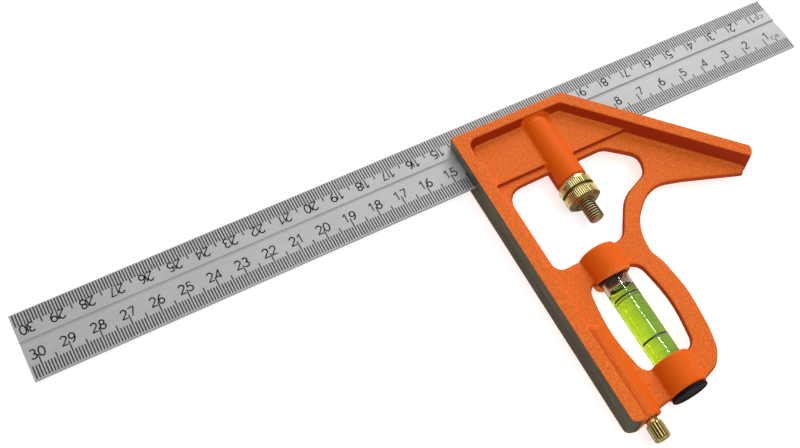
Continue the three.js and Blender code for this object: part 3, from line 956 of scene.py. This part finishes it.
# ---------------------------------------------------------------- scriber
def scriber():
    needle = rings(
        "scriber_point",
        [(0.7, -107.0), (0.8, -106.9)]
        + [(0.8, y) for y in np.linspace(-104, -73, 8)]
        + [(0.8, -72.5), (0.62, -71.2), (0.36, -69.2), (0.12, -67.3), (0.05, -67.02)],
        SCRIBER_X,
        32,
        NEEDLE,
        "scriber",
        smooth=40,
    )
    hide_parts("scriber_needle")
    bush = rings(
        "scriber_sleeve",
        [(1.15, -100.4), (2.05, -100.4), (2.2, -100.25), (2.2, -92.15), (2.05, -92.0), (1.15, -92.0)],
        SCRIBER_X,
        48,
        BRASS,
        "head",
        loop=True,
    )
    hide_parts("scriber_bushing")
    N, R, D = 17, 2.95, 0.50

    def tooth(scale, radius=R):
        return lambda a, y: knurled(radius, D * scale, N, 0.6)(a)

    rows = [(1.15, -107.3), (0.06, -107.3), (0.06, -108.6), (2.15, -108.6), (2.4, -108.5)]
    rows += [(tooth(0.25, 2.6), -108.3), (tooth(0.8, 2.85), -108.05), (tooth(1.0), -107.85)]
    rows += [(tooth(1.0), y) for y in np.linspace(-107.6, -103.0, 10)]
    rows += [(tooth(0.9, 2.88), -102.75), (tooth(0.35, 2.7), -102.5), (2.5, -102.4), (2.2, -102.38)]
    rows += [(2.1, -102.2), (2.1, -101.2), (2.0, -100.95), (1.9, -100.9), (1.15, -100.9)]
    # painted shade: the bottoms of the knurl are darkened
    o = rings(
        "scriber_handle", rows, SCRIBER_X, N * 12, KNOB_BRASS, "scriber", loop=True, smooth=28,
        low=lambda r, y: np.where((y > -108.2) & (y < -102.6), (2.90 - r) / 0.24, 0),
    )
    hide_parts("scriber_knob")


scriber()


# ---------------------------------------------------------------- stage, lights, camera
def stage():
    m, t, b, co, out = new_material("floor_white")
    n = noise(t, co, 14, 2.0, 0.5)
    t.links.new(ramp(t, n, [(0.3, (0.58, 0.58, 0.58)), (0.7, (0.60, 0.60, 0.60))]), b.inputs["Base Color"])
    b.inputs["Roughness"].default_value = 0.9
    b.inputs["Specular IOR Level"].default_value = 0.1
    b.inputs["Emission Color"].default_value = (1, 1, 1, 1)
    b.inputs["Emission Strength"].default_value = 0.72
    # painted reflection: glossy rays see the floor as a darker grey, so polished metal reflects it darker, while
    # other rays see it white
    path = t.nodes.new("ShaderNodeLightPath")
    shade = t.nodes.new("ShaderNodeBsdfDiffuse")
    shade.inputs[0].default_value = (0.42, 0.41, 0.38, 1)
    mixer = t.nodes.new("ShaderNodeMixShader")
    only = t.nodes.new("ShaderNodeMath")  # reflected rays, but not those through clear plastic
    only.operation = "SUBTRACT"
    only.use_clamp = True
    t.links.new(path.outputs["Is Glossy Ray"], only.inputs[0])
    t.links.new(path.outputs["Is Transmission Ray"], only.inputs[1])
    t.links.new(only.outputs[0], mixer.inputs[0])
    t.links.new(b.outputs[0], mixer.inputs[1])
    t.links.new(shade.outputs[0], mixer.inputs[2])
    t.links.new(mixer.outputs[0], out.inputs[0])
    me = bpy.data.meshes.new("floor")
    s = 6.0
    me.from_pydata([(-s, -s, -0.0002), (s, -s, -0.0002), (s, s, -0.0002), (-s, s, -0.0002)], [], [(0, 1, 2, 3)])
    me.materials.append(m)
    o = bpy.data.objects.new("floor", me)
    bpy.context.scene.collection.objects.link(o)


stage()


def area(name, location, target, size, power, colour=(1, 1, 1)):
    d = bpy.data.lights.new(name, "AREA")
    d.shape = "RECTANGLE"
    d.size, d.size_y = size
    d.energy = power
    d.color = colour
    o = bpy.data.objects.new(name, d)
    bpy.context.scene.collection.objects.link(o)
    o.location = location
    o.rotation_euler = (Vector(target) - Vector(location)).to_track_quat("-Z", "Y").to_euler()
    return o


centre = (0.0, 0.0, 0.0)


def lamp(name, direction, distance, size, power):
    d = Vector(direction).normalized() * distance
    return area(name, tuple(d), centre, size, power)


lamp("key", (0.56, 0.68, 0.48), 2.6, (1.5, 1.5), 55.0)
lamp("top", (0.12, -0.30, 0.95), 0.95, (0.65, 0.65), 3.9)
strip = lamp("strip", (0.264, 0.225, 0.938), 1.6, (0.06, 0.60), 16.0)
back = Vector((0.264, 0.225, 0.938)).normalized()
along = (Vector((0, 1, 0)) - back * back.y).normalized()
strip.rotation_euler = Matrix((along.cross(back), along, back)).transposed().to_euler()
# the strip only glints on the vial
only_vial = bpy.data.collections.new("strip_receivers")
only_vial.objects.link(bpy.data.objects["vial_tube"])
strip.light_linking.receiver_collection = only_vial
# a long soft box glints only on the brass
box = lamp("brass_box", (-0.20, 0.36, 0.90), 1.5, (2.0, 0.55), 7.0)
back = Vector((-0.20, 0.36, 0.90)).normalized()
along = (Vector((0, 1, 0)) - back * back.y).normalized()
box.rotation_euler = Matrix((along.cross(back), along, back)).transposed().to_euler()
only_brass = bpy.data.collections.new("box_receivers")
for name in ("clamp_nut_knurled", "bolt_thread", "scriber_handle"):
    only_brass.objects.link(bpy.data.objects[name])
box.light_linking.receiver_collection = only_brass
lamp("side", (-0.85, -0.30, 0.45), 2.4, (1.2, 1.2), 4.0)

world = bpy.data.worlds.new("studio")
bpy.context.scene.world = world
world.use_nodes = True
bg = world.node_tree.nodes["Background"]
bg.inputs[0].default_value = (1, 1, 1, 1)
# the backdrop above the floor's horizon is pale, while the room's fill light stays low
seen = world.node_tree.nodes.new("ShaderNodeLightPath")
world.node_tree.links.new(
    remap(world.node_tree, seen.outputs["Is Camera Ray"], 0.0, 1.0, 0.28, 0.93), bg.inputs[1]
)

cam_data = bpy.data.cameras.new("camera")
cam = bpy.data.objects.new("camera", cam_data)
bpy.context.scene.collection.objects.link(cam)
cam_data.sensor_width = 36.0
cam_data.lens = 1171.55314 / 800 * 36.0
cam_data.shift_x = -54.381766 / 800
cam_data.shift_y = 4.76461114 / 800
cam_data.clip_start, cam_data.clip_end = 0.01, 50
cam.matrix_world = Matrix(
    (
        (0.8686814, 0.3917802, -0.3031517, -0.1304678),
        (-0.4877381, 0.7834548, -0.3851106, -0.1256074),
        (0.0866269, 0.4823970, 0.8716587, 0.3610294),
        (0, 0, 0, 1),
    )
)
bpy.context.scene.camera = cam

scene = bpy.context.scene
scene.view_settings.view_transform = "Standard"
scene.view_settings.look = "None"
scene.view_settings.exposure = 0.0
scene.view_settings.gamma = 1.0
